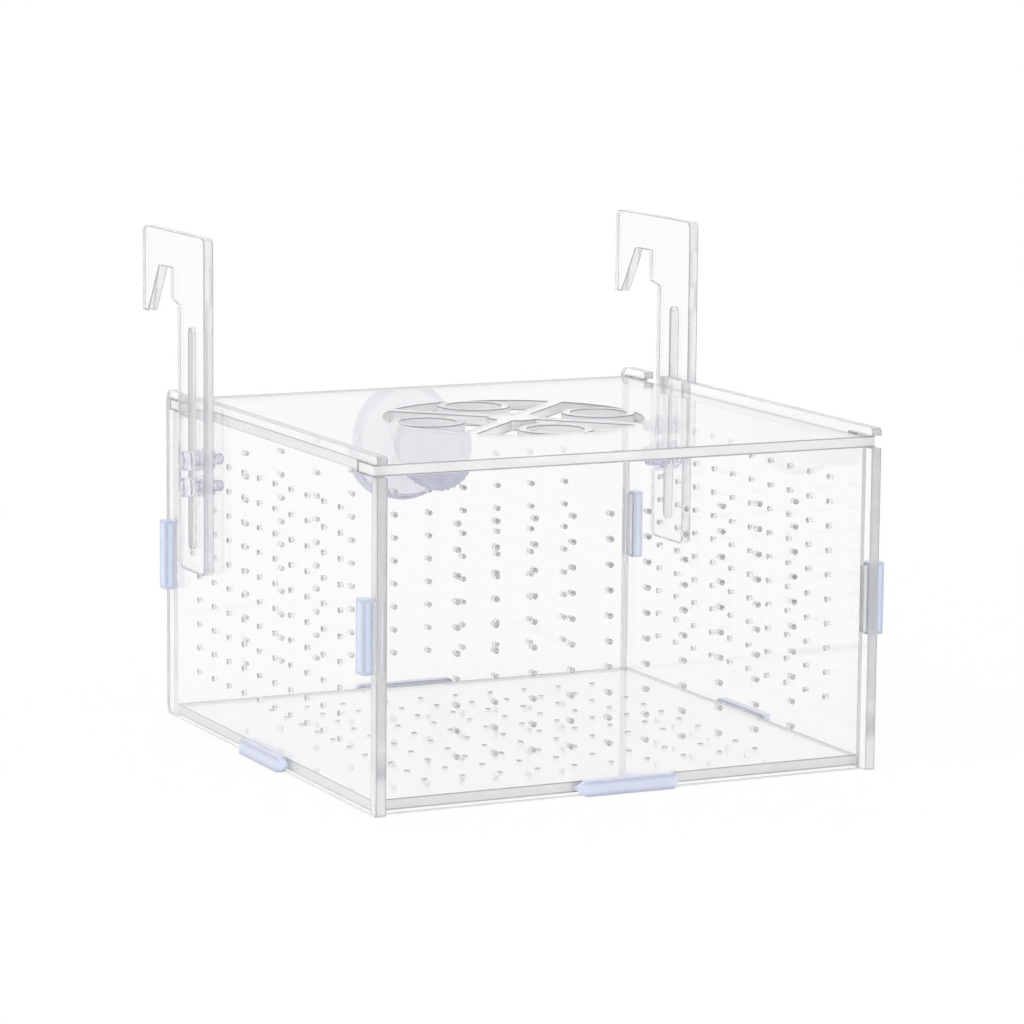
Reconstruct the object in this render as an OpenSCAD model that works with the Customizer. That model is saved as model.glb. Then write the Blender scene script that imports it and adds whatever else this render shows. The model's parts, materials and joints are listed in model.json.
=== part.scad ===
// Fish breeding box: clear slotted sheets held by tongues and push-on caps,
// with two hooks for the tank's rim and a suction cup for its wall.
// Origin: centre of the base panel's underside. +Y is the back, +Z is up.

/* [Box] */
// Width over both side panels
box_w = 150; // [135:1:200]
// Depth of the side panels, front edge to rear edge
box_d = 150; // [135:1:200]
// Height of the side panels
box_h = 95; // [85:1:140]
// Thickness of every sheet of the box
sheet_t = 3; // [2.5:0.1:4]
// Radius of the side panels' rear corners
rear_corner_r = 3; // [1:0.5:5]
// Radius of the side panels' front corners
front_corner_r = 1; // [0.5:0.5:1.5]
// How far the front and back panels stand in from the side panels' edges
wall_inset = 2.8; // [2.2:0.1:6]

/* [Tongues and caps] */
// Length of the tongue at each end of the front and back panels
side_tongue_l = 18.4; // [10:0.2:24]
// How far that tongue stands out of the side panel
side_tongue_out = 2.2; // [1.5:0.1:4]
// Wall of the straight caps round their tongues
side_cap_wall = 0.8; // [0.5:0.1:1.5]
// Length of the tongue on each side of the base panel
base_tongue_l = 24.5; // [14:0.5:28]
// How far the base tongues stand out of the walls
base_tongue_out = 1.6; // [1:0.1:5]
// Wall of the pointed caps above, below and beyond their tongues
base_cap_wall = 0.6; // [0.5:0.05:1.2]
// Length of the pointed ends of the base caps
base_cap_point_l = 3; // [2:0.5:8]

/* [Lid] */
// Drop of the lid's top face below the side panels' top edges
lid_drop = 2.5; // [1.8:0.1:6]
// Length of each lid ear along the side panel
ear_l = 9.7; // [6:0.1:12]
// How far each ear reaches into the side panel
ear_reach = 2.7; // [1.5:0.1:2.8]
// Diameter of the cut-out rosette
rosette_d = 73; // [60:1:86]
// Width of the four bars that cross the rosette
bar_w = 4.5; // [3:0.5:7]
// Outer diameter of the ring in each petal
petal_ring_d = 21; // [18:0.5:23]
// Width of that ring
petal_ring_w = 2.6; // [2:0.2:4]
// Diameter of the boss where the bars cross
hub_d = 15; // [10:0.5:18]

/* [Vent holes] */
// Diameter of the vent holes
vent_d = 1.6; // [1:0.1:2.5]
// Holes along each row
vent_cols = 10; // [6:2:12]
// Rows of holes
vent_rows = 10; // [6:2:10]
// Spacing of the columns
vent_pitch_across = 11.2; // [8:0.1:11.4]
// Spacing of the rows on the walls
vent_pitch_up = 6.9; // [5:0.1:7]

/* [Hooks] */
// Thickness of a hook
hook_t = 3; // [2:0.5:5]
// Width of the shank
shank_w = 20; // [16:0.5:26]
// Distance of the shank's centre line from the side panel's rear edge
hook_set_in = 27; // [25:0.5:34]
// Top of the hook above the side panels' top edges
hook_rise = 46.6; // [40:0.2:60]
// Bottom of the hook below the side panels' top edges
hook_drop = 49; // [40:0.5:60]
// Width of the throat that drops over the tank's rim
throat_w = 9.1; // [6:0.1:14]
// Gap from the shank to the throat
throat_step = 5.5; // [4:0.1:10]
// Thickness of the arm over the throat
arm_h = 10.5; // [8:0.1:14]
// Height of the throat's straight front wall
throat_h = 9; // [6:0.5:14]
// Width of the nose at its tip
nose_w = 4; // [3:0.1:8]
// Width of the slope from the throat to the nose
nose_slope_w = 9; // [6:0.5:14]
// Height of the nose below the throat's roof
nose_h = 14; // [10:0.5:20]
// Radius of the outer corners
hook_corner_r = 2; // [1:0.5:2.5]
// Width of the slot
slot_w = 3.5; // [3.3:0.1:5]
// Top of the slot above the side panels' top edges
slot_rise = 20.6; // [16:0.2:24]
// Bottom of the slot below the side panels' top edges
slot_drop = 42.4; // [36:0.2:44]

/* [Bolts] */
// Diameter of the bolts
bolt_d = 3; // [2.5:0.1:3]
// Length of the bolts under the head
bolt_l = 12; // [11.5:0.5:18]
// Diameter of the heads
head_d = 5.6; // [5:0.1:7]
// Height of the heads
head_h = 2.6; // [1.5:0.1:3]
// Width of the nuts across their flats
nut_af = 5.5; // [5:0.1:6]
// Height of the nuts
nut_h = 2.4; // [2:0.1:3]
// Depth of the upper bolts below the side panels' top edges
upper_bolt_drop = 17.1; // [16:0.1:18]
// Spacing of the two bolts of a hook
bolt_pitch = 7.6; // [7:0.1:9]

/* [Suction cup] */
// Diameter of the cup's rim
rim_d = 33; // [28:0.5:38]
// Distance of the rim from the back panel
rim_reach = 15.3; // [13:0.1:18]
// Depth of the axis below the side panels' top edges
cup_drop = 21.7; // [21:0.1:26]
// Offset of the axis to the right of the middle
cup_offset = 4.7; // [-20:0.1:20]
// Diameter of the stud
stud_d = 6; // [5:0.1:7]
// Diameter of the thumb nut over its ribs
knob_d = 20.5; // [18:0.5:25]
// Length of the thumb nut
knob_l = 11; // [9:0.5:14]
// Ribs round the thumb nut
knob_ribs = 32; // [16:1:40]

/* [Clearances] */
// Between two sheets of the box
fit_gap = 0.1; // [0.05:0.05:0.2]
// Between pieces that slide on each other
slide_gap = 0.1; // [0.1:0.05:0.2]
// Over the lid in its slits
lid_gap = 0.4; // [0.2:0.1:0.6]
// Round the bolts and the stud where something turns on them
turn_gap = 0.05; // [0.03:0.01:0.1]

/* [Hidden] */
$fn = 64;

clear = [0.86, 0.90, 0.95, 0.45];
soft_blue = [0.70, 0.75, 0.88];
lavender = [0.74, 0.73, 0.90];
deep_blue = [0.42, 0.44, 0.72];

// Planes of the sheets, measured from the origin
side_out = box_w / 2;
side_in = side_out - sheet_t;
edge_y = box_d / 2;
wall_out = edge_y - wall_inset;
wall_in = wall_out - sheet_t;
wall_mid = (wall_out + wall_in) / 2;
foot_gap = 0.1;
wall_bottom = -(base_cap_wall + foot_gap);
side_top = wall_bottom + box_h;
lid_top = side_top - lid_drop;
lid_under = lid_top - sheet_t;
wall_top = lid_under - slide_gap;
side_mid_z = (wall_bottom + side_top) / 2;
wall_mid_z = (wall_bottom + wall_top) / 2;

// Lid: it slides forward until its front ears have left their slits
lid_free = 0.5;
lid_travel = ear_l + wall_inset + lid_free;
ear_out = side_in + ear_reach;
ear_front = wall_out - ear_l;

// Hooks
hook_y = edge_y - hook_set_in;
hook_in = side_out + slide_gap;
hook_out = hook_in + hook_t;
throat_y = hook_y + shank_w / 2 + throat_step;
throat_top = hook_rise - arm_h;

// Bolts
upper_bolt_z = side_top - upper_bolt_drop;
lower_bolt_z = upper_bolt_z - bolt_pitch;
bolt_hole_d = bolt_d + 2 * fit_gap;

// Suction cup: radii and distances from the back panel's outer face
cup_z = side_top - cup_drop;
cup_hole_d = stud_d + 2 * turn_gap;
shoulder_d = 18;
shoulder_l = 2;
neck_d = 11;
neck_l = 3.5;
rim_wall = 1.6;
rim_bead_r = 1.1;
bowl_d = 8;
bowl_gap = 2.4;
knob_front = 2;
stud_end = knob_l - knob_front - 1;
collar_d = 13;
collar_l = 2;
knob_round = 1.5;
knob_dish_d = 14;
knob_dish_l = 0.6;

// Points of an arc about a centre, from angle a0 to a1
function arc(x, y, r, a0, a1, steps = 8) =
    [for (i = [0:steps]) let (a = a0 + (a1 - a0) * i / steps) [x + r * cos(a), y + r * sin(a)]];

// Points of a quarter of an ellipse from (x0, y0) to (x1, y1), which leaves along x
function quarter(x0, y0, x1, y1, steps = 8) =
    [for (i = [0:steps]) let (a = 90 * i / steps) [x0 + (x1 - x0) * sin(a), y0 + (y1 - y0) * (1 - cos(a))]];

// The same points in the opposite order
function back_to_front(points) =
    [for (i = [len(points) - 1:-1:0]) points[i]];

// Centred rectangle with round corners, of radius r0 on its left and r1 on its right
module rounded_rect(w, h, r0, r1) {
    x0 = r0 - w / 2;
    x1 = w / 2 - r1;
    y0 = h / 2 - r0;
    y1 = h / 2 - r1;
    polygon(concat(arc(x1, y1, r1, 0, 90), arc(x0, y0, r0, 90, 180),
        arc(x0, -y0, r0, 180, 270), arc(x1, -y1, r1, 270, 360)));
}

// Rectangle from its two corners
module span(x0, y0, x1, y1) {
    translate([x0, y0])
        square([x1 - x0, y1 - y0]);
}

// Grid of vent holes centred at a height, without those nearer than clear_r to a point
module vents(pitch_x, pitch_y, mid_y, keep_off = [], clear_r = 0) {
    for (i = [0:vent_cols - 1], j = [0:vent_rows - 1]) {
        x = (i - (vent_cols - 1) / 2) * pitch_x;
        y = mid_y + (j - (vent_rows - 1) / 2) * pitch_y;
        near = [for (p = keep_off) if (norm([x, y] - p) < clear_r + vent_d) 1];
        if (len(near) == 0)
            translate([x, y])
                circle(d = vent_d);
    }
}

// Stands a shape drawn in (Y, Z) up as a sheet of thickness t that starts at x0
module sheet_yz(x0, t) {
    translate([x0, 0, 0])
        rotate([90, 0, 90])
            linear_extrude(t)
                children();
}

// Stands a shape drawn in (X, Z) up as a sheet whose front face is at y0
module sheet_xz(y0, t) {
    translate([0, y0 + t, 0])
        rotate([90, 0, 0])
            linear_extrude(t)
                children();
}

// Outline of a side panel, drawn in (Y, Z)
module side_outline() {
    tongue_h = side_tongue_l / 2 + fit_gap;
    difference() {
        translate([0, side_mid_z])
            rounded_rect(box_d, box_h, front_corner_r, rear_corner_r);
        // Closed slots for the tongues of the front and back panels
        for (y = [-wall_mid, wall_mid])
            translate([y, side_mid_z])
                square([sheet_t + 2 * fit_gap, 2 * tongue_h], center = true);
        // Notch for the tongue of the base panel
        span(-base_tongue_l / 2 - fit_gap, wall_bottom - 1, base_tongue_l / 2 + fit_gap, sheet_t + fit_gap);
        // Front slit, open to the front edge, for the lid's front ear
        span(-edge_y - 1, wall_top, -ear_front + lid_gap, lid_top + lid_gap);
        // Rear slit, closed at the back
        span(ear_front - lid_travel - lid_gap, wall_top, wall_out + fit_gap, lid_top + lid_gap);
        // Entry for the rear ear, open at the top
        span(ear_front - lid_travel - lid_gap, wall_top, wall_out - lid_travel + lid_gap, side_top + 1);
        // Bolt holes
        for (z = [lower_bolt_z, upper_bolt_z])
            translate([hook_y, z])
                circle(d = bolt_hole_d);
        vents(vent_pitch_across, vent_pitch_up, side_mid_z,
            [[hook_y, lower_bolt_z], [hook_y, upper_bolt_z]], nut_af / 2);
    }
}

module left_side_panel() {
    color(clear)
        sheet_yz(-side_out, sheet_t)
            side_outline();
}

module right_side_panel() {
    color(clear)
        sheet_yz(side_in, sheet_t)
            side_outline();
}

// Outline of the front and back panels, drawn in (X, Z)
module wall_outline() {
    end_x = side_out + side_tongue_out;
    difference() {
        union() {
            span(-side_in + fit_gap, wall_bottom, side_in - fit_gap, wall_top);
            translate([0, side_mid_z])
                square([2 * end_x, side_tongue_l], center = true);
        }
        span(-base_tongue_l / 2 - fit_gap, wall_bottom - 1, base_tongue_l / 2 + fit_gap, sheet_t + fit_gap);
        children();
    }
}

module front_panel() {
    color(clear)
        sheet_xz(-wall_out, sheet_t)
            wall_outline()
                vents(vent_pitch_across, vent_pitch_up, wall_mid_z);
}

module back_panel() {
    color(clear)
        sheet_xz(wall_in, sheet_t)
            wall_outline() {
                vents(vent_pitch_across, vent_pitch_up, wall_mid_z, [[cup_offset, cup_z]], cup_hole_d / 2);
                translate([cup_offset, cup_z])
                    circle(d = cup_hole_d);
            }
}

module base_panel() {
    color(clear)
        linear_extrude(sheet_t)
            difference() {
                union() {
                    square([2 * (side_in - fit_gap), 2 * (wall_in - fit_gap)], center = true);
                    square([2 * (side_out + base_tongue_out), base_tongue_l], center = true);
                    square([base_tongue_l, 2 * (wall_out + base_tongue_out)], center = true);
                }
                vents(vent_pitch_across, vent_pitch_across, 0);
            }
}

// One petal of the rosette: a quarter of the disc between two bars, with a ring in it
module petal() {
    reach = rosette_d / 2;
    ring_x = reach - petal_ring_d / 2 + 0.5;
    difference() {
        intersection() {
            circle(d = rosette_d);
            polygon([[bar_w / sqrt(2), 0], [reach * 2, reach * 2 - bar_w / sqrt(2)],
                [reach * 2, bar_w / sqrt(2) - reach * 2]]);
        }
        circle(d = hub_d);
        difference() {
            translate([ring_x, 0])
                circle(d = petal_ring_d);
            translate([ring_x, 0])
                circle(d = petal_ring_d - 2 * petal_ring_w);
        }
    }
}

module lid() {
    color(clear)
        translate([0, 0, lid_under])
            linear_extrude(sheet_t)
                difference() {
                    union() {
                        square([2 * (side_in - 0.3), 2 * wall_out], center = true);
                        for (y = [-wall_out, wall_out - ear_l])
                            translate([-ear_out, y])
                                square([2 * ear_out, ear_l]);
                    }
                    for (a = [0:90:270])
                        rotate(a)
                            petal();
                }
}

// Outline of a hook, drawn in (Y, Z) with the side panels' top edges at zero
module hook_outline() {
    shank_front = hook_y - shank_w / 2;
    shank_back = hook_y + shank_w / 2;
    throat_back = throat_y + throat_w;
    nose_front = throat_back + nose_slope_w;
    nose_back = nose_front + nose_w;
    r = hook_corner_r;
    difference() {
        polygon(concat(
            [[shank_back, throat_top - throat_h - 1.2], [throat_y, throat_top - throat_h],
                [throat_y, throat_top], [throat_back, throat_top]],
            [[nose_front, throat_top - nose_h], [nose_back, throat_top - nose_h]],
            arc(nose_back - r, hook_rise - r, r, 0, 90, 5),
            arc(shank_front + r, hook_rise - r, r, 90, 180, 5),
            arc(shank_front + r, -hook_drop + r, r, 180, 270, 5),
            arc(shank_back - r, -hook_drop + r, r, 270, 360, 5)
        ));
        // Slot for the bolts, with round ends
        translate([hook_y, slot_rise - slot_w / 2])
            circle(d = slot_w);
        translate([hook_y, -slot_drop + slot_w / 2])
            circle(d = slot_w);
        span(hook_y - slot_w / 2, -slot_drop + slot_w / 2, hook_y + slot_w / 2, slot_rise - slot_w / 2);
    }
}

module left_hook() {
    color(soft_blue)
        translate([0, 0, side_top])
            sheet_yz(-hook_out, hook_t)
                hook_outline();
}

module right_hook() {
    color(soft_blue)
        translate([0, 0, side_top])
            sheet_yz(hook_in, hook_t)
                hook_outline();
}

// Bolt along X: side is 1 on the right and -1 on the left
module bolt(side, z) {
    head_x = hook_out + slide_gap;
    dome_h = bolt_d / 6;
    color(lavender)
        translate([0, hook_y, z])
            rotate([0, 90 * side, 0])
                translate([0, 0, head_x])
                    difference() {
                        rotate_extrude()
                            polygon(concat(
                                [[0, -bolt_l], [bolt_d / 2 - 0.6, -bolt_l], [bolt_d / 2, -bolt_l + 0.6],
                                    [bolt_d / 2, 0], [head_d / 2, 0]],
                                [[head_d / 2, head_h - dome_h], [head_d / 2 - dome_h, head_h], [0, head_h]]
                            ));
                        // Driver slot
                        translate([-head_d, -0.4, head_h - 0.9])
                            cube([2 * head_d, 0.8, 2]);
                    }
}

module left_upper_bolt() {
    bolt(-1, upper_bolt_z);
}

module left_lower_bolt() {
    bolt(-1, lower_bolt_z);
}

module right_upper_bolt() {
    bolt(1, upper_bolt_z);
}

module right_lower_bolt() {
    bolt(1, lower_bolt_z);
}

// Hexagon nut on the inner face of a side panel
module nut(side, z) {
    color(lavender)
        translate([side * (side_in - slide_gap), hook_y, z])
            rotate([0, -90 * side, 0])
                difference() {
                    intersection() {
                        cylinder(h = nut_h, d = nut_af / cos(30), $fn = 6);
                        // Chamfer that rounds the corners of the free face
                        cylinder(h = nut_h, d1 = nut_af / cos(30) + 1.6, d2 = nut_af + 0.2);
                    }
                    translate([0, 0, -1])
                        cylinder(h = nut_h + 2, d = bolt_d + 2 * turn_gap);
                }
}

module left_upper_nut() {
    nut(-1, upper_bolt_z);
}

module left_lower_nut() {
    nut(-1, lower_bolt_z);
}

module right_upper_nut() {
    nut(1, upper_bolt_z);
}

module right_lower_nut() {
    nut(1, lower_bolt_z);
}

// Places a turned piece on the cup's axis, with its +Z along the back panel's outward normal
module on_cup_axis(y) {
    translate([cup_offset, y, cup_z])
        rotate([-90, 0, 0])
            children();
}

module suction_cup() {
    rim_r = rim_d / 2;
    bell_y = shoulder_l + neck_l;
    color(lavender)
        on_cup_axis(wall_out + slide_gap)
            rotate_extrude()
                polygon(concat(
                    // Stud, from its inner end to the shoulder
                    [[0, -sheet_t - stud_end], [stud_d / 2 - 0.6, -sheet_t - stud_end],
                        [stud_d / 2, -sheet_t - stud_end + 0.6], [stud_d / 2, 0]],
                    // Shoulder and neck
                    [[shoulder_d / 2, 0], [shoulder_d / 2, shoulder_l]],
                    [[neck_d / 2, shoulder_l + 0.6], [neck_d / 2, bell_y]],
                    // Bell with two beads at the rim
                    quarter(neck_d / 2 + 0.4, bell_y + 0.2, rim_r - 2 * rim_bead_r, rim_reach - 4 * rim_bead_r),
                    arc(rim_r - 1.6 * rim_bead_r, rim_reach - 3 * rim_bead_r, rim_bead_r, -60, 60, 6),
                    arc(rim_r - rim_bead_r, rim_reach - rim_bead_r, rim_bead_r, -60, 90, 8),
                    // Bowl, from the rim to its flat middle
                    back_to_front(quarter(bowl_d / 2, bell_y + bowl_gap, rim_r - rim_wall, rim_reach - 0.6)),
                    [[0, bell_y + bowl_gap]]
                ));
}

module suction_nut() {
    rib_r = PI * knob_d / knob_ribs / 4;
    body_r = knob_d / 2 - rib_r;
    outer_r = knob_d / 2 + 0.2;
    color(deep_blue)
        on_cup_axis(wall_in - slide_gap)
            mirror([0, 0, 1])
                difference() {
                    intersection() {
                        linear_extrude(knob_l)
                            union() {
                                circle(r = body_r);
                                for (i = [0:knob_ribs - 1])
                                    rotate(i * 360 / knob_ribs)
                                        translate([body_r, 0])
                                            circle(r = rib_r, $fn = 16);
                            }
                        // Collar against the panel, flare to the grip and rounded front
                        rotate_extrude()
                            polygon(concat(
                                [[0, 0], [collar_d / 2, 0], [collar_d / 2, collar_l], [outer_r, collar_l + 1.5]],
                                arc(outer_r - knob_round, knob_l - knob_round, knob_round, 0, 90, 6),
                                [[knob_dish_d / 2 + knob_dish_l, knob_l], [knob_dish_d / 2, knob_l - knob_dish_l],
                                    [0, knob_l - knob_dish_l]]
                            ));
                    }
                    // Blind hole for the stud
                    translate([0, 0, -1])
                        cylinder(h = stud_end + 1 + slide_gap + 0.4, d = stud_d + 2 * turn_gap);
                }
}

// Straight cap on a tongue that leaves a side panel: side is -1 on the left, end is -1 at the front
module side_cap(side, end) {
    proud = side_tongue_out + side_cap_wall;
    length = side_tongue_l + 2 * side_cap_wall;
    width = sheet_t + 2 * side_cap_wall;
    color(soft_blue)
        translate([side * side_out, end * wall_mid, side_mid_z])
            rotate([0, 90 * side, 0])
                difference() {
                    translate([-length / 2, -width / 2, 0])
                        cube([length, width, proud]);
                    translate([-side_tongue_l / 2 - fit_gap, -sheet_t / 2 - fit_gap, -1])
                        cube([side_tongue_l + 2 * fit_gap, sheet_t + 2 * fit_gap, side_tongue_out + fit_gap + 1]);
                }
}

module cap_front_left() {
    side_cap(-1, -1);
}

module cap_back_left() {
    side_cap(-1, 1);
}

module cap_front_right() {
    side_cap(1, -1);
}

module cap_back_right() {
    side_cap(1, 1);
}

// Cap with pointed ends on a base tongue, drawn facing -Y with the wall's face at y = 0
module base_cap() {
    proud = base_tongue_out + base_cap_wall + 0.4;
    face = base_tongue_l / 2 + 1;
    tip = face + base_cap_point_l;
    high = sheet_t + 2 * base_cap_wall;
    color(soft_blue)
        difference() {
            intersection() {
                // Plan: a trapezoid
                translate([0, 0, -high])
                    linear_extrude(3 * high)
                        polygon([[-tip, 0], [tip, 0], [face, -proud], [-face, -proud]]);
                // Front view: a bar with pointed ends
                translate([0, proud, 0])
                    rotate([90, 0, 0])
                        linear_extrude(3 * proud)
                            polygon([[-tip, sheet_t / 2], [-face, -base_cap_wall], [face, -base_cap_wall],
                                [tip, sheet_t / 2], [face, sheet_t + base_cap_wall],
                                [-face, sheet_t + base_cap_wall]]);
            }
            translate([-base_tongue_l / 2 - fit_gap, -base_tongue_out - fit_gap, -fit_gap])
                cube([base_tongue_l + 2 * fit_gap, base_tongue_out + fit_gap + 1, sheet_t + 2 * fit_gap]);
        }
}

module cap_bottom_front() {
    translate([0, -wall_out, 0])
        base_cap();
}

module cap_bottom_back() {
    translate([0, wall_out, 0])
        rotate(180)
            base_cap();
}

module cap_bottom_left() {
    translate([-side_out, 0, 0])
        rotate(-90)
            base_cap();
}

module cap_bottom_right() {
    translate([side_out, 0, 0])
        rotate(90)
            base_cap();
}

left_side_panel();
right_side_panel();
front_panel();
back_panel();
base_panel();
lid();
left_hook();
right_hook();
left_upper_bolt();
left_lower_bolt();
right_upper_bolt();
right_lower_bolt();
left_upper_nut();
left_lower_nut();
right_upper_nut();
right_lower_nut();
suction_cup();
suction_nut();
cap_front_left();
cap_back_left();
cap_front_right();
cap_back_right();
cap_bottom_front();
cap_bottom_back();
cap_bottom_left();
cap_bottom_right();
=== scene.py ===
"""Looks of the fish breeding box: clear cut sheets, blue caps, nylon bolts and a soft suction cup.

Lengths are in metres in the part's own frame, and MM turns millimetres into them.
"""

import json
import math

import bmesh
import bpy
import numpy as np
from mathutils import Matrix, Vector


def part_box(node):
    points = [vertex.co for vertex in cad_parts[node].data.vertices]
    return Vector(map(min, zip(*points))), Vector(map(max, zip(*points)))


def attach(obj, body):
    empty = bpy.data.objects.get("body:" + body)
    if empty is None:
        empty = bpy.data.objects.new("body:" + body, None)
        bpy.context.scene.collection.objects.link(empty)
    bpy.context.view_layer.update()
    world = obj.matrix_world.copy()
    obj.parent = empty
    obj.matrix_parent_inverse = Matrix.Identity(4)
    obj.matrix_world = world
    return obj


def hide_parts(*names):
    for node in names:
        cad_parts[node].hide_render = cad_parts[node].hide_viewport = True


MM = 0.001
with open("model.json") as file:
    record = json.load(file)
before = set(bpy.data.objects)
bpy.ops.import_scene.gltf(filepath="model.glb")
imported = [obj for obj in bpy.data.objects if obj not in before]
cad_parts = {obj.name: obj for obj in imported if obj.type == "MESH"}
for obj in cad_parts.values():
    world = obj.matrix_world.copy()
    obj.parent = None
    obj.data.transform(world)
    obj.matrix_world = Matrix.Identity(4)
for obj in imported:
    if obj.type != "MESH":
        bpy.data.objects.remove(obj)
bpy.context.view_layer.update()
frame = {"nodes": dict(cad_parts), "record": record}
NODES = frame["nodes"]
BODY_OF = {node: body for body, nodes in frame["record"]["behaviour"]["bodies"].items() for node in nodes}

# Camera: the photograph's own view. Its place is in millimetres, its turns are in degrees
PHOTO_PX = 1024
FOCAL_PX = 4307.0
SENSOR_W = 36.0
CAMERA_PLACE = (-519.2, -1077.3, 251.2)
CAMERA_AZIMUTH = 25.72
CAMERA_PITCH = 8.86
CAMERA_ROLL = 0.52

# Nearest and furthest thing that the camera shows, in metres
CAMERA_REACH = (0.01, 20.0)

# Light passes through many clear walls before it reaches the background
LIGHT_BOUNCES = 28

# How bright reflections show the white studio
REFLECTED_WHITE = 0.95

# Lamp: its place, the point it looks at and its width in metres, and its power in watts
LAMP_PLACE = (-0.7, -0.5, 1.1)
LAMP_AIM = (0.0, 0.0, 0.05)
LAMP_W = 0.9
LAMP_POWER = 2.4

# Floor: its half width and where it fades to white, in metres, and how white it is before that
FLOOR_HALF_W = 6.0
FLOOR_FADE = (0.15, 0.45)
FLOOR_NEAR_WHITE = 0.75

# Which way the broad faces of each sheet look
SHEET_AXIS = {
    "left_side_panel": "X", "right_side_panel": "X", "left_hook": "X", "right_hook": "X",
    "front_panel": "Y", "back_panel": "Y", "base_panel": "Z", "lid": "Z",
}

# Colours, as the photograph shows them
SHEET_TINT = (0.978, 0.978, 0.982)
SIDE_EDGE = (0.85, 0.85, 0.865)
SHEET_EDGE = (0.97, 0.97, 0.975)
# Painted shade: the dark grey arris colours of the sheets and of their holes stand in for the shade that
# refraction puts along the clear plastic's arrises
SHEET_ARRIS_SHADE = (0.45, 0.45, 0.48)
HOLE_WALL = (0.96, 0.96, 0.965)
HOLE_ARRIS_SHADE = (0.64, 0.64, 0.67)
# Painted shade: a darker grey along the arrises of the lid's rosette
ROSETTE_ARRIS_SHADE = (0.28, 0.28, 0.32)
HOOK_TINT = (0.968, 0.968, 0.973)
HOOK_EDGE = (0.95, 0.95, 0.962)
# Painted shade: dark grey along the hooks' arrises
HOOK_ARRIS_SHADE = (0.40, 0.40, 0.44)
# Painted shade: the caps grey towards their edges
CAP_EDGE_SHADE = (0.52, 0.55, 0.66)
CAP_BLUE = (0.68, 0.77, 0.95)
# Painted shade: the bottom caps grey towards their edges
BASE_CAP_EDGE_SHADE = (0.52, 0.54, 0.67)
BASE_CAP_BLUE = (0.70, 0.74, 0.87)
NYLON = (0.94, 0.94, 0.98)
NYLON_DEEP = (0.86, 0.86, 0.95)
CUP_VINYL = (0.80, 0.80, 0.86)
# Partly the thick rim's deeper tint and partly painted shade: the cup's vinyl darkens to this lavender at its
# rim
CUP_RIM_TINT_AND_SHADE = (0.48, 0.49, 0.66)
KNOB_VIOLET = (0.62, 0.62, 0.74)
KNOB_DEEP = (0.54, 0.54, 0.68)
FLOOR_WHITE = (0.93, 0.93, 0.93)
FLOOR_PALE = (0.95, 0.95, 0.95)
STUDIO_WHITE = (1.0, 1.0, 1.0, 1.0)

# How strongly light bends in the hard plastics and in the vinyl
PLASTIC_IOR = 1.49
VINYL_IOR = 1.45

# How much light passes through the sheets' cut edges and through the plastics, from 0 to 1
HOOK_EDGE_CLEAR = 0.7
SIDE_EDGE_CLEAR = 0.62
PANEL_EDGE_CLEAR = 0.3
NYLON_CLEAR = 0.9
VINYL_CLEAR = 0.9
KNOB_CLEAR = 0.15

# How frosted the holes' walls are, and how fully the painted shade along the arrises covers the clear
# plastic, from 0 to 1
HOLE_FROST = 0.4
ARRIS_SHADE_FROST = 0.8

# Below a sheet's broad faces, in millimetres: where its cut edge begins, and where the painted shade along
# its arris ends
EDGE_SPAN = (0.01, 0.06)
ARRIS_SHADE_SPAN = (0.22, 0.45)

# Inside the box around a sheet, in millimetres: where a cut edge begins to be a hole's wall
HOLE_SPAN = (8.0, 9.0)

# How rough the surfaces are, at most or from and to
EDGE_ROUGH = 0.2
HOLE_ROUGH = 0.06
HAZE_ROUGH = 0.025
CAP_ROUGH = (0.25, 0.38)
BASE_CAP_ROUGH = (0.29, 0.42)
NYLON_ROUGH = (0.1, 0.18)
KNOB_ROUGH = (0.2, 0.28)
VINYL_ROUGH = (0.05, 0.14)

# Milky plastic: share of its scattering, and how deep it and the clouds reach, in millimetres
SCATTER = 0.85
SCATTER_DEPTH = 1.2
CLOUD_DEPTH = 0.6

# Where the painted shade along the caps' edges gives way to their blue, in millimetres, and where the cup's
# vinyl turns to its darker lavender rim, of deeper tint and painted shade, in shares of its radius
CAP_SHADE_SPAN = (0.5, 1.7)
CUP_RIM_SPAN = (0.86, 0.97)

# Grain of the surfaces, in features per metre
CUT_STREAKS = 2400.0
FACE_HAZE = 45.0
CAP_CLOUDS = 300.0
CAP_SKIN = 4200.0
FLOW_MARKS = 260.0
PLASTIC_SKIN = 3000.0
VINYL_FLOW = 180.0
FLOOR_MOTTLE = 60.0

# How far the grain is drawn out: the streaks along a sheet's thickness, and the flow marks by axis
STREAK_SHRINK = 0.04
FLOW_SHRINK = (1.0, 0.35, 1.0)

# Values of the grain between which it takes effect
HAZE_SPAN = (0.45, 0.85)
FLOW_SPAN = (0.3, 0.75)
SKIN_SPAN = (0.2, 0.8)

# How far sharp edges are rounded, in millimetres, and in how many steps
SHEET_BREAK = (0.18, 1)
CAP_BREAK = (0.15, 2)
BOLT_BREAK = (0.15, 2)
KNOB_BREAK = (0.2, 2)

# Clean copies of the solids: points this close are one, in millimetres, faces this flat become one face,
# and edges this sharp are rounded, in degrees
WELD_GAP = 0.002
FLAT_ANGLE = 0.5
SHARP_ANGLE = 40.0

# Suction cup, in millimetres, with its heights from the back panel's outer face
SHOULDER_R = 9.0
SHOULDER_L = 2.0
NECK_R = 5.5
NECK_L = 3.5
EDGE_R = 0.4
BEAD_R = 1.1
BOWL_R = 4.0
BOWL_GAP = 2.4
RIM_WALL = 1.6
RIM_LIP = 0.6

# Fillet from the shoulder to the neck, in millimetres: each point's way off the neck and past the shoulder
NECK_FILLET = ((0.9, 0.25), (0.3, 0.55), (0.0, 1.2))

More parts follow.
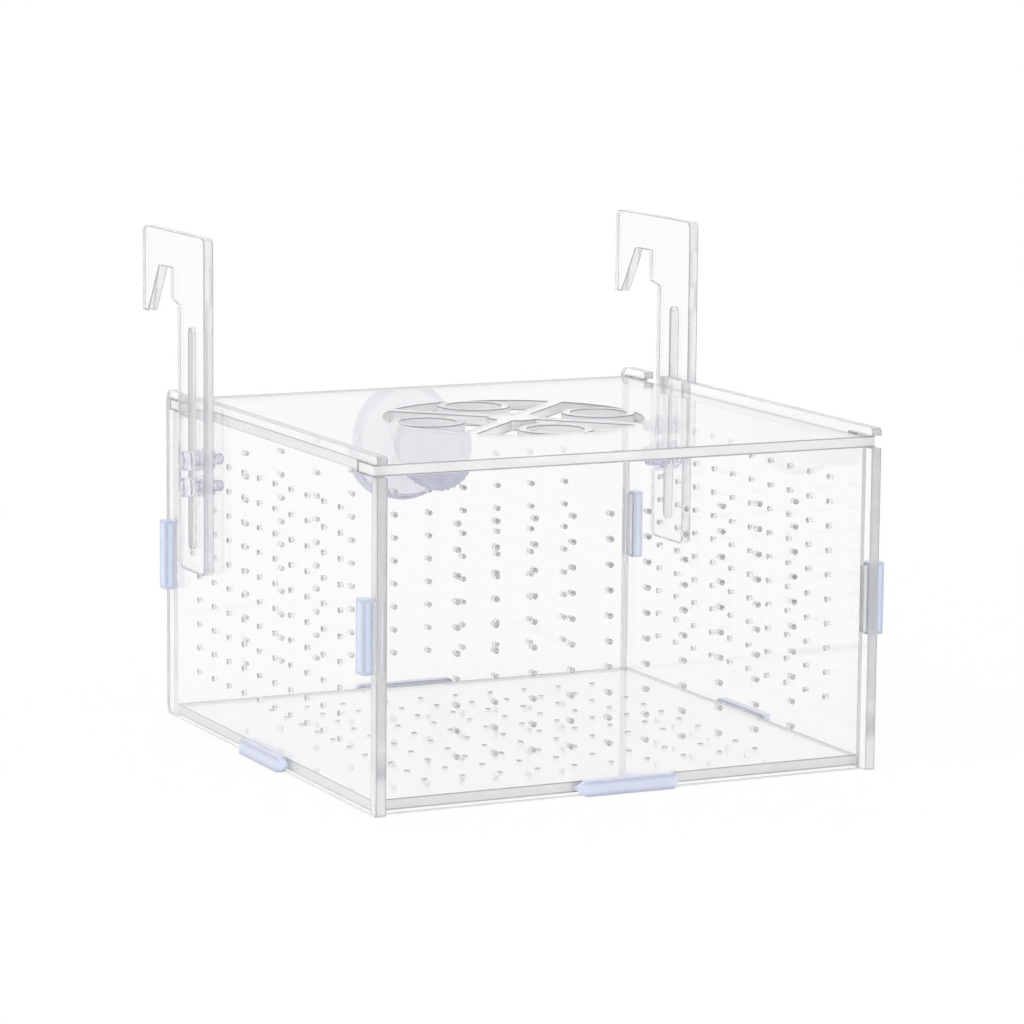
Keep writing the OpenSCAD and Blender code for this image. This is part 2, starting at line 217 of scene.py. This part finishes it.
# Stud of the suction cup, in millimetres, and the rows of its mesh
STUD_R = 3.0
STUD_TIP = 0.6
STUD_ROOT = 0.1
STUD_PITCH = 1.0
STUD_GROOVE = 0.35
STUD_THREAD_STOP = 0.3
STUD_ROWS = 60

# Points around the suction cup
CUP_POINTS = 96

# Threads of the bolts, in millimetres, and the least share of its size that a thread has at its ends
BOLT_R = 1.5
BOLT_PITCH = 0.5
BOLT_RIDGE = 0.13
THREAD_START = 0.5
THREAD_SPARE = 0.8
THREAD_END_SHARE = 0.15


class Tree:
    """The node tree of a material or a world, built from its inputs to its output."""

    def __init__(self, owner):
        self.owner = owner
        self.owner.use_nodes = True
        self.nodes = self.owner.node_tree.nodes
        self.links = self.owner.node_tree.links
        self.nodes.clear()

    def add(self, kind, inputs=None, **settings):
        """Adds a node, sets its settings, and sets or links its inputs."""
        node = self.nodes.new("ShaderNode" + kind)
        for key, value in settings.items():
            setattr(node, key, value)
        for key, value in (inputs or {}).items():
            if isinstance(value, bpy.types.NodeSocket):
                self.links.new(value, node.inputs[key])
            else:
                node.inputs[key].default_value = value
        return node

    def math(self, operation, a, b=0.0):
        """One Math node of two values or sockets."""
        return self.add("Math", {0: a, 1: b}, operation=operation).outputs[0]

    def ramp(self, value, low, high, out_low=0.0, out_high=1.0):
        """Smooth step of a value from low to high."""
        inputs = {"Value": value, "From Min": low, "From Max": high, "To Min": out_low, "To Max": out_high}
        return self.add("MapRange", inputs, interpolation_type="SMOOTHSTEP").outputs[0]

    def ramp_mm(self, length, span, out_low=0.0, out_high=1.0):
        """Smooth step of a length over a span in millimetres."""
        return self.ramp(length, span[0] * MM, span[1] * MM, out_low, out_high)

    def mix(self, share, a, b):
        """Colour mixed from a to b."""
        node = self.add("Mix", {"Factor": share}, data_type="RGBA")
        for socket, value in ((node.inputs[6], a), (node.inputs[7], b)):
            if isinstance(value, bpy.types.NodeSocket):
                self.links.new(value, socket)
            else:
                socket.default_value = (*value, 1.0)
        return node.outputs[2]

    def mix_shader(self, share, a, b):
        """Shader mixed from a to b."""
        return self.add("MixShader", {0: share, 1: a, 2: b}).outputs[0]

    def noise(self, vector, scale, detail=3.0, roughness=0.5):
        """Noise from 0 to 1 at that scale, in features per metre."""
        inputs = {"Vector": vector, "Scale": scale, "Detail": detail, "Roughness": roughness}
        return self.add("TexNoise", inputs).outputs["Fac"]

    def where(self):
        """The piece's own coordinates."""
        return self.add("TexCoord").outputs["Object"]

    def place(self, stretch=(1.0, 1.0, 1.0)):
        """The piece's own coordinates, stretched by axis."""
        return self.add("Mapping", {"Vector": self.where(), "Scale": stretch}).outputs[0]

    def bump(self, height, strength, depth_mm):
        """Normal from a height."""
        inputs = {"Height": height, "Strength": strength, "Distance": depth_mm * MM}
        return self.add("Bump", inputs).outputs[0]

    def finish(self, shader, output="OutputMaterial"):
        """Joins the shader to the output, and gives the material or world."""
        self.links.new(shader, self.add(output).inputs["Surface"])
        return self.owner


def material_tree(name):
    """The empty node tree of a new material."""
    return Tree(bpy.data.materials.new(name))


def depths(tree, node):
    """How deep a point lies below each pair of faces of the node's box, by axis."""
    low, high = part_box(node)
    parts = tree.add("SeparateXYZ", {0: tree.where()}).outputs
    found = {}
    for axis in "XYZ":
        start, end = getattr(low, axis.lower()), getattr(high, axis.lower())
        off_middle = tree.math("ABSOLUTE", tree.math("SUBTRACT", parts[axis], (start + end) / 2))
        found[axis] = tree.math("SUBTRACT", (end - start) / 2, off_middle)
    return found


def sheet_material(node, tint, edge_tint, arris_shade, hole_arris_shade, edge_clear):
    """Clear acrylic: polished broad faces, faintly frosted cut edges, and painted shade in dark grey along
    the arrises.

    A point is on a cut edge where it lies below the broad faces, in the painted shade of its arris where
    it lies just below them, and in a hole where it also lies well inside the sheet's outline.
    """
    axis = SHEET_AXIS[node]
    tree = material_tree("clear_" + node)
    depth = depths(tree, node)
    below = depth.pop(axis)
    edge = tree.ramp_mm(below, EDGE_SPAN)
    # Painted shade: a dark line just below each broad face, along the arrises
    arris = tree.ramp_mm(below, ARRIS_SHADE_SPAN, 1.0, 0.0)
    hole = tree.ramp_mm(tree.math("MINIMUM", *depth.values()), HOLE_SPAN)

    # Fine streaks that the cutter leaves across the edge, and a trace of haze on the faces
    stretch = [1.0, 1.0, 1.0]
    stretch["XYZ".index(axis)] = STREAK_SHRINK
    streaks = tree.noise(tree.place(stretch), CUT_STREAKS, detail=4.0, roughness=0.6)
    haze = tree.noise(tree.place(), FACE_HAZE, detail=5.0, roughness=0.65)
    edge_rough = tree.ramp(hole, 0.0, 1.0, EDGE_ROUGH, HOLE_ROUGH)
    face_rough = tree.ramp(haze, *HAZE_SPAN, 0.0, HAZE_ROUGH)

    cut_tint = tree.mix(hole, edge_tint, HOLE_WALL)
    # The painted shade along the arrises, and how fully it covers the clear plastic
    shade_line_tint = tree.mix(hole, arris_shade, hole_arris_shade)
    cut_frost = tree.ramp(hole, 0.0, 1.0, 1 - edge_clear, HOLE_FROST)
    shade_line_frost = tree.math("MULTIPLY", arris, ARRIS_SHADE_FROST)
    frost = tree.math("MULTIPLY", edge, tree.math("MAXIMUM", cut_frost, shade_line_frost))
    shader = tree.add("BsdfPrincipled", {
        "Base Color": tree.mix(edge, tint, tree.mix(arris, cut_tint, shade_line_tint)),
        "Roughness": tree.math("ADD", tree.math("MULTIPLY", edge, edge_rough), face_rough),
        "IOR": PLASTIC_IOR,
        "Transmission Weight": tree.math("SUBTRACT", 1.0, frost),
        "Normal": tree.bump(tree.math("MULTIPLY", streaks, edge), strength=0.06, depth_mm=0.05),
    })
    return tree.finish(shader.outputs[0])


def cap_material(node, rim, middle, rough):
    """Moulded milky plastic, with painted shade that greys it along its edges, cloudy colour where that shade
    gives way, and a fine moulded skin.

    Of the three depths below the faces of the cap's box, one is nought on the surface, so the
    middle one is the distance to the nearest edge.
    """
    tree = material_tree("milky_" + node)
    a, b, c = depths(tree, node).values()
    lesser, greater = tree.math("MINIMUM", a, b), tree.math("MAXIMUM", a, b)
    from_edge = tree.math("MAXIMUM", lesser, tree.math("MINIMUM", greater, c))
    where = tree.place()
    cloud = tree.math("MULTIPLY", tree.noise(where, CAP_CLOUDS), CLOUD_DEPTH * MM)
    skin = tree.noise(where, CAP_SKIN, detail=2.0)
    # Painted shade: grey near the cap's edges and blue further in, with a cloudy boundary
    blue = tree.ramp_mm(tree.math("ADD", from_edge, cloud), CAP_SHADE_SPAN)
    shader = tree.add("BsdfPrincipled", {
        "Base Color": tree.mix(blue, rim, middle),
        "Roughness": tree.ramp(skin, *SKIN_SPAN, *rough),
        "IOR": PLASTIC_IOR,
        "Subsurface Weight": SCATTER,
        "Subsurface Radius": (1.0, 1.0, 1.0),
        "Subsurface Scale": SCATTER_DEPTH * MM,
        "Normal": tree.bump(skin, strength=0.06, depth_mm=0.05),
    })
    return tree.finish(shader.outputs[0])


def tinted_plastic(name, tint, deep_tint, rough, clear):
    """Tinted plastic, clear or cloudy, with faint flow marks in its skin and in its tint."""
    tree = material_tree(name)
    flow = tree.noise(tree.place(FLOW_SHRINK), FLOW_MARKS)
    skin = tree.noise(tree.place(), PLASTIC_SKIN, detail=2.0)
    shader = tree.add("BsdfPrincipled", {
        "Base Color": tree.mix(tree.ramp(flow, *FLOW_SPAN), tint, deep_tint),
        "Roughness": tree.ramp(skin, *SKIN_SPAN, *rough),
        "IOR": PLASTIC_IOR,
        "Transmission Weight": clear,
        "Normal": tree.bump(flow, strength=0.08, depth_mm=0.1),
    })
    return tree.finish(shader.outputs[0])


def vinyl_material():
    """Clear soft vinyl that turns a darker lavender towards the cup's thick rim: partly the thicker vinyl's
    deeper tint, partly painted shade.
    """
    low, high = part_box("suction_cup")
    tree = material_tree("soft_vinyl")
    parts = tree.add("SeparateXYZ", {0: tree.where()}).outputs
    across = tree.math("SUBTRACT", parts["X"], (low.x + high.x) / 2)
    up = tree.math("SUBTRACT", parts["Z"], (low.z + high.z) / 2)
    squares = [tree.math("MULTIPLY", way, way) for way in (across, up)]
    radius = tree.math("SQRT", tree.math("ADD", *squares))
    rim_r = (high.x - low.x) / 2
    # Darker lavender towards the rim: partly the thicker vinyl's deeper tint, partly painted shade
    rim = tree.ramp(radius, CUP_RIM_SPAN[0] * rim_r, CUP_RIM_SPAN[1] * rim_r)
    flow = tree.noise(tree.place(), VINYL_FLOW)
    shader = tree.add("BsdfPrincipled", {
        "Base Color": tree.mix(rim, CUP_VINYL, CUP_RIM_TINT_AND_SHADE),
        "Roughness": tree.ramp(flow, *SKIN_SPAN, *VINYL_ROUGH),
        "IOR": VINYL_IOR,
        "Transmission Weight": VINYL_CLEAR,
        "Normal": tree.bump(flow, strength=0.1, depth_mm=0.1),
    })
    return tree.finish(shader.outputs[0])


def floor_material():
    """Pale floor, seen nearly white, that keeps a soft shadow near the object and fades to white far off."""
    tree = material_tree("floor_paint")
    rays = tree.add("LightPath").outputs
    seen = tree.math("MAXIMUM", rays["Is Camera Ray"], rays["Is Glossy Ray"])
    seen = tree.math("MAXIMUM", seen, rays["Is Transmission Ray"])
    from_middle = tree.add("VectorMath", {0: tree.where()}, operation="LENGTH").outputs["Value"]
    far = tree.ramp(from_middle, *FLOOR_FADE, FLOOR_NEAR_WHITE, 1.0)
    mottle = tree.noise(tree.place(), FLOOR_MOTTLE, detail=4.0)
    paint = tree.add("BsdfDiffuse", {"Color": tree.mix(mottle, FLOOR_WHITE, FLOOR_PALE)})
    white = tree.add("Emission", {"Color": STUDIO_WHITE, "Strength": 1.0})
    share = tree.math("MULTIPLY", seen, far)
    return tree.finish(tree.mix_shader(share, paint.outputs[0], white.outputs[0]))


def studio_world():
    """A plain white world, which reflections show a little darker than it is."""
    tree = Tree(bpy.data.worlds.new("studio"))
    open_white = tree.add("Background", {"Color": STUDIO_WHITE, "Strength": 1.0})
    mirrored = tree.add("Background", {"Color": STUDIO_WHITE, "Strength": REFLECTED_WHITE})
    share = tree.add("LightPath").outputs["Is Glossy Ray"]
    both = tree.mix_shader(share, open_white.outputs[0], mirrored.outputs[0])
    return tree.finish(both, "OutputWorld")


def add_object(name, data):
    """A new object in the scene."""
    added = bpy.data.objects.new(name, data)
    bpy.context.scene.collection.objects.link(added)
    return added


def set_material(piece, material):
    """Gives every material slot of the piece this material."""
    if not piece.data.materials:
        piece.data.materials.append(material)
    for index in range(len(piece.data.materials)):
        piece.data.materials[index] = material


def softened(node, edge_break, material):
    """Puts a copy of a node's solid, with its sharp edges rounded, in the node's place."""
    mesh = NODES[node].data.copy()
    piece = add_object(node + "_finish", mesh)
    grid = bmesh.new()
    grid.from_mesh(mesh)
    bmesh.ops.remove_doubles(grid, verts=grid.verts, dist=WELD_GAP * MM)
    flat = math.radians(FLAT_ANGLE)
    bmesh.ops.dissolve_limit(grid, angle_limit=flat, verts=grid.verts, edges=grid.edges)
    grid.to_mesh(mesh)
    grid.free()
    mesh.polygons.foreach_set("use_smooth", np.zeros(len(mesh.polygons), bool))
    width, steps = edge_break
    bevel = piece.modifiers.new("round_edges", "BEVEL")
    bevel.width = width * MM
    bevel.segments = steps
    bevel.limit_method = "ANGLE"
    bevel.angle_limit = math.radians(SHARP_ANGLE)
    bevel.use_clamp_overlap = True
    set_material(piece, material)
    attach(piece, BODY_OF[node])
    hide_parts(node)


def ring_quads(rings, points):
    """Faces between closed rings of points, where point j of ring i is number i * points + j."""
    around = np.arange(points)
    after = (around + 1) % points
    first = np.arange(rings - 1)[:, None] * points
    second = first + points
    quads = np.stack([first + around, first + after, second + after, second + around], axis=-1)
    return quads.reshape(-1, 4).tolist()


def turned_piece(name, profile, turns, matrix, radius_at):
    """A closed surface of revolution.

    Each row of profile is a radius and a height on the axis, from the pole at one end to the pole
    at the other. Point (i, j) lies at profile row i and at angle 2 pi j / turns, and radius_at
    changes its radius by height and angle. The matrix puts the axis, which is Z, in its place.
    """
    rings = profile[1:-1]
    angle = np.linspace(0.0, 2 * np.pi, turns, endpoint=False)
    height = np.repeat(rings[:, 1:], turns, axis=1)
    radius = radius_at(np.repeat(rings[:, :1], turns, axis=1), height, angle[None, :])
    points = np.stack([radius * np.cos(angle), radius * np.sin(angle), height], axis=-1).reshape(-1, 3)
    poles = np.array([[0.0, 0.0, profile[0, 1]], [0.0, 0.0, profile[-1, 1]]])
    points = np.vstack([points, poles]) * MM
    around = np.arange(turns)
    after = (around + 1) % turns
    start, end = len(points) - 2, len(points) - 1
    last = (len(rings) - 1) * turns
    faces = ring_quads(len(rings), turns)
    faces += np.stack([np.full(turns, start), after, around], axis=-1).tolist()
    faces += np.stack([np.full(turns, end), last + around, last + after], axis=-1).tolist()
    return solid_piece(name, points, faces, matrix)


def solid_piece(name, points, faces, matrix=None):
    """A smooth mesh object from points and faces, with its normals turned outwards."""
    mesh = bpy.data.meshes.new(name)
    mesh.from_pydata(points.tolist(), [], faces)
    if matrix is not None:
        mesh.transform(matrix)
    grid = bmesh.new()
    grid.from_mesh(mesh)
    bmesh.ops.recalc_face_normals(grid, faces=grid.faces)
    grid.to_mesh(mesh)
    grid.free()
    mesh.polygons.foreach_set("use_smooth", np.ones(len(mesh.polygons), bool))
    return add_object(name, mesh)


def add_camera():
    """The camera, from the photograph's viewing angle."""
    data = bpy.data.cameras.new("camera")
    data.sensor_width = SENSOR_W
    data.lens = FOCAL_PX / PHOTO_PX * SENSOR_W
    data.clip_start, data.clip_end = CAMERA_REACH
    camera = add_object("camera", data)
    turn = Matrix.Rotation(math.radians(-CAMERA_AZIMUTH), 4, "Z")
    tilt = Matrix.Rotation(math.radians(90 - CAMERA_PITCH), 4, "X")
    roll = Matrix.Rotation(math.radians(CAMERA_ROLL), 4, "Z")
    camera.matrix_world = Matrix.Translation([c * MM for c in CAMERA_PLACE]) @ turn @ tilt @ roll
    bpy.context.scene.camera = camera


def add_floor():
    """A pale floor under the side panels."""
    floor_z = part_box("left_side_panel")[0].z
    ways = ((-1, -1), (1, -1), (1, 1), (-1, 1))
    corners = [(x * FLOOR_HALF_W, y * FLOOR_HALF_W, floor_z) for x, y in ways]
    mesh = bpy.data.meshes.new("floor")
    mesh.from_pydata(corners, [], [(0, 1, 2, 3)])
    floor = add_object("floor", mesh)
    set_material(floor, floor_material())


def add_lamp():
    """One soft lamp, above the box and to its front left."""
    data = bpy.data.lights.new("key_lamp", "AREA")
    data.size = LAMP_W
    data.energy = LAMP_POWER
    lamp = add_object("key_lamp", data)
    lamp.location = LAMP_PLACE
    lamp.rotation_mode = "QUATERNION"
    lamp.rotation_quaternion = (Vector(LAMP_PLACE) - Vector(LAMP_AIM)).to_track_quat("Z", "Y")


def sheet_finish(node):
    """The acrylic of one sheet. The hooks and the side panels have the clearest cut edges."""
    if node.endswith("hook"):
        return sheet_material(node, HOOK_TINT, HOOK_EDGE, HOOK_ARRIS_SHADE, HOOK_ARRIS_SHADE, HOOK_EDGE_CLEAR)
    if node.endswith("side_panel"):
        return sheet_material(node, SHEET_TINT, SIDE_EDGE, SHEET_ARRIS_SHADE, HOLE_ARRIS_SHADE, SIDE_EDGE_CLEAR)
    inner_arris_shade = ROSETTE_ARRIS_SHADE if node == "lid" else HOLE_ARRIS_SHADE
    return sheet_material(node, SHEET_TINT, SHEET_EDGE, SHEET_ARRIS_SHADE, inner_arris_shade, PANEL_EDGE_CLEAR)


def dress_sheets():
    """The clear sheets and the hooks, with their arrises broken."""
    for node in SHEET_AXIS:
        softened(node, SHEET_BREAK, sheet_finish(node))


def dress_caps():
    """The push-on caps, with soft edges."""
    for node in NODES:
        if node.startswith("cap_bottom"):
            softened(node, CAP_BREAK, cap_material(node, BASE_CAP_EDGE_SHADE, BASE_CAP_BLUE, BASE_CAP_ROUGH))
        elif node.startswith("cap_"):
            softened(node, CAP_BREAK, cap_material(node, CAP_EDGE_SHADE, CAP_BLUE, CAP_ROUGH))


def thread_ridge(name, start, length, axis_y, axis_z, direction):
    """The raised thread of a bolt, as one closed ridge along a helix about an axis parallel to X.

    At turn angle t the ridge's middle lies at start + direction * pitch * t / (2 pi) on the axis
    and at the bolt's radius from it. Its section is a pentagon that shrinks over the first and
    the last half turn.
    """
    steps_per_turn, sides = 24, 5
    turns = length / BOLT_PITCH
    t = np.linspace(0.0, 2 * np.pi * turns, int(turns * steps_per_turn) + 1)
    size = BOLT_RIDGE * np.clip(np.minimum(t, t[-1] - t) / np.pi, THREAD_END_SHARE, 1.0)
    phi = np.arange(sides) * 2 * np.pi / sides
    radius = BOLT_R + size[:, None] * np.cos(phi)
    x = start + direction * (BOLT_PITCH * t[:, None] / (2 * np.pi) + size[:, None] * np.sin(phi))
    y = axis_y + radius * np.cos(t)[:, None]
    z = axis_z + radius * np.sin(t)[:, None]
    points = np.stack([x, y, z], axis=-1)
    around = np.arange(sides)
    faces = ring_quads(len(t), sides)
    faces += [around[::-1].tolist(), (around + (len(t) - 1) * sides).tolist()]
    return solid_piece(name, points.reshape(-1, 3) * MM, faces)


def bolt_thread(node):
    """The thread of one bolt, from near its free end inside the box to just short of its head."""
    low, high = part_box(node)
    hook_low, hook_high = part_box(node.split("_")[0] + "_hook")
    if low.x > 0:
        free_x, head_x, side = low.x, hook_high.x, 1
    else:
        free_x, head_x, side = high.x, hook_low.x, -1
    length = abs(head_x - free_x) / MM - THREAD_SPARE
    axis_y = (low.y + high.y) / 2 / MM
    axis_z = (low.z + high.z) / 2 / MM
    return thread_ridge(node + "_thread", free_x / MM + side * THREAD_START, length, axis_y, axis_z, side)


def dress_bolts():
    """Nylon bolts with their threads, and nuts."""
    nylon = tinted_plastic("clear_nylon", NYLON, NYLON_DEEP, NYLON_ROUGH, NYLON_CLEAR)
    for node in NODES:
        if node.endswith("nut") and node != "suction_nut":
            softened(node, BOLT_BREAK, nylon)
        elif node.endswith("bolt"):
            softened(node, BOLT_BREAK, nylon)
            ridge = bolt_thread(node)
            set_material(ridge, nylon)
            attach(ridge, BODY_OF[node])


def arc(centre, radius, start, end, steps):
    """Points of an arc from one angle to another, in degrees, as an array of places."""
    angle = np.radians(np.linspace(start, end, steps))
    return np.stack([centre[0] + radius * np.cos(angle), centre[1] + radius * np.sin(angle)], axis=-1)


def quarter(start, end, steps):
    """Points of a quarter ellipse that leaves the start along the first coordinate."""
    angle = np.linspace(0.0, np.pi / 2, steps)
    reach = np.subtract(end, start)
    return np.stack([start[0] + reach[0] * np.sin(angle), start[1] + reach[1] * (1 - np.cos(angle))], axis=-1)


def cup_profile(stud_end, rim_r, reach):
    """Radius and height rows of the suction cup: stud, shoulder, neck, bell with two beads, and bowl."""
    bell = SHOULDER_L + NECK_L
    roof = bell + BOWL_GAP
    stud_heights = np.linspace(stud_end + STUD_TIP, -STUD_ROOT, STUD_ROWS)
    rows = [
        [[0.0, stud_end], [STUD_R - STUD_TIP, stud_end]],
        np.stack([np.full(STUD_ROWS, STUD_R), stud_heights], axis=-1),
        [[SHOULDER_R - EDGE_R, 0.0]],
        arc((SHOULDER_R - EDGE_R, EDGE_R), EDGE_R, -60, 0, 4),
        arc((SHOULDER_R - EDGE_R, SHOULDER_L - EDGE_R), EDGE_R, 0, 80, 5),
        [[NECK_R + off, SHOULDER_L + past] for off, past in NECK_FILLET],
        [[NECK_R, bell - EDGE_R]],
        quarter((NECK_R + EDGE_R, bell + EDGE_R / 2), (rim_r - 2 * BEAD_R, reach - 4 * BEAD_R), 24),
        arc((rim_r - 1.6 * BEAD_R, reach - 3 * BEAD_R), BEAD_R, -60, 60, 9),
        arc((rim_r - BEAD_R, reach - BEAD_R), BEAD_R, -60, 90, 13),
        quarter((BOWL_R, roof), (rim_r - RIM_WALL, reach - RIM_LIP), 24)[::-1],
        [[BOWL_R / 2, roof], [0.0, roof]],
    ]
    return np.vstack(rows)


def stud_thread(radius, height, angle):
    """Cuts a single-start thread into the stud: the groove's depth is a triangle wave along the helix."""
    phase = np.mod(height / STUD_PITCH - angle / (2 * np.pi), 1.0)
    groove = STUD_GROOVE * np.abs(2 * phase - 1)
    on_stud = (height < -STUD_THREAD_STOP) & (radius > STUD_R - STUD_TIP)
    return np.where(on_stud, radius - groove, radius)


def dress_cup():
    """The suction cup, turned as one piece, and its thumb nut."""
    low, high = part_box("suction_cup")
    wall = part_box("back_panel")[1].y
    profile = cup_profile((low.y - wall) / MM, (high.x - low.x) / 2 / MM, (high.y - wall) / MM)
    on_wall = Matrix.Translation(((low.x + high.x) / 2, wall, (low.z + high.z) / 2))
    to_back = Matrix.Rotation(-math.pi / 2, 4, "X")
    cup = turned_piece("suction_cup_finish", profile, CUP_POINTS, on_wall @ to_back, stud_thread)
    set_material(cup, vinyl_material())
    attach(cup, BODY_OF["suction_cup"])
    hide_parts("suction_cup")
    knob = tinted_plastic("knob_violet", KNOB_VIOLET, KNOB_DEEP, KNOB_ROUGH, KNOB_CLEAR)
    softened("suction_nut", KNOB_BREAK, knob)


def set_light_paths():
    """Lets light through all the clear walls, and keeps what lies behind them at its full brightness."""
    cycles = bpy.context.scene.cycles
    cycles.max_bounces = LIGHT_BOUNCES
    cycles.transmission_bounces = LIGHT_BOUNCES
    cycles.glossy_bounces = LIGHT_BOUNCES
    cycles.transparent_max_bounces = LIGHT_BOUNCES

    # The usual blur of glossy paths takes light from all that is seen through clear plastic
    cycles.blur_glossy = 0.0


add_camera()
add_floor()
bpy.context.scene.world = studio_world()
add_lamp()
dress_sheets()
dress_caps()
dress_bolts()
dress_cup()
set_light_paths()
bpy.context.scene.view_settings.view_transform = "Standard"
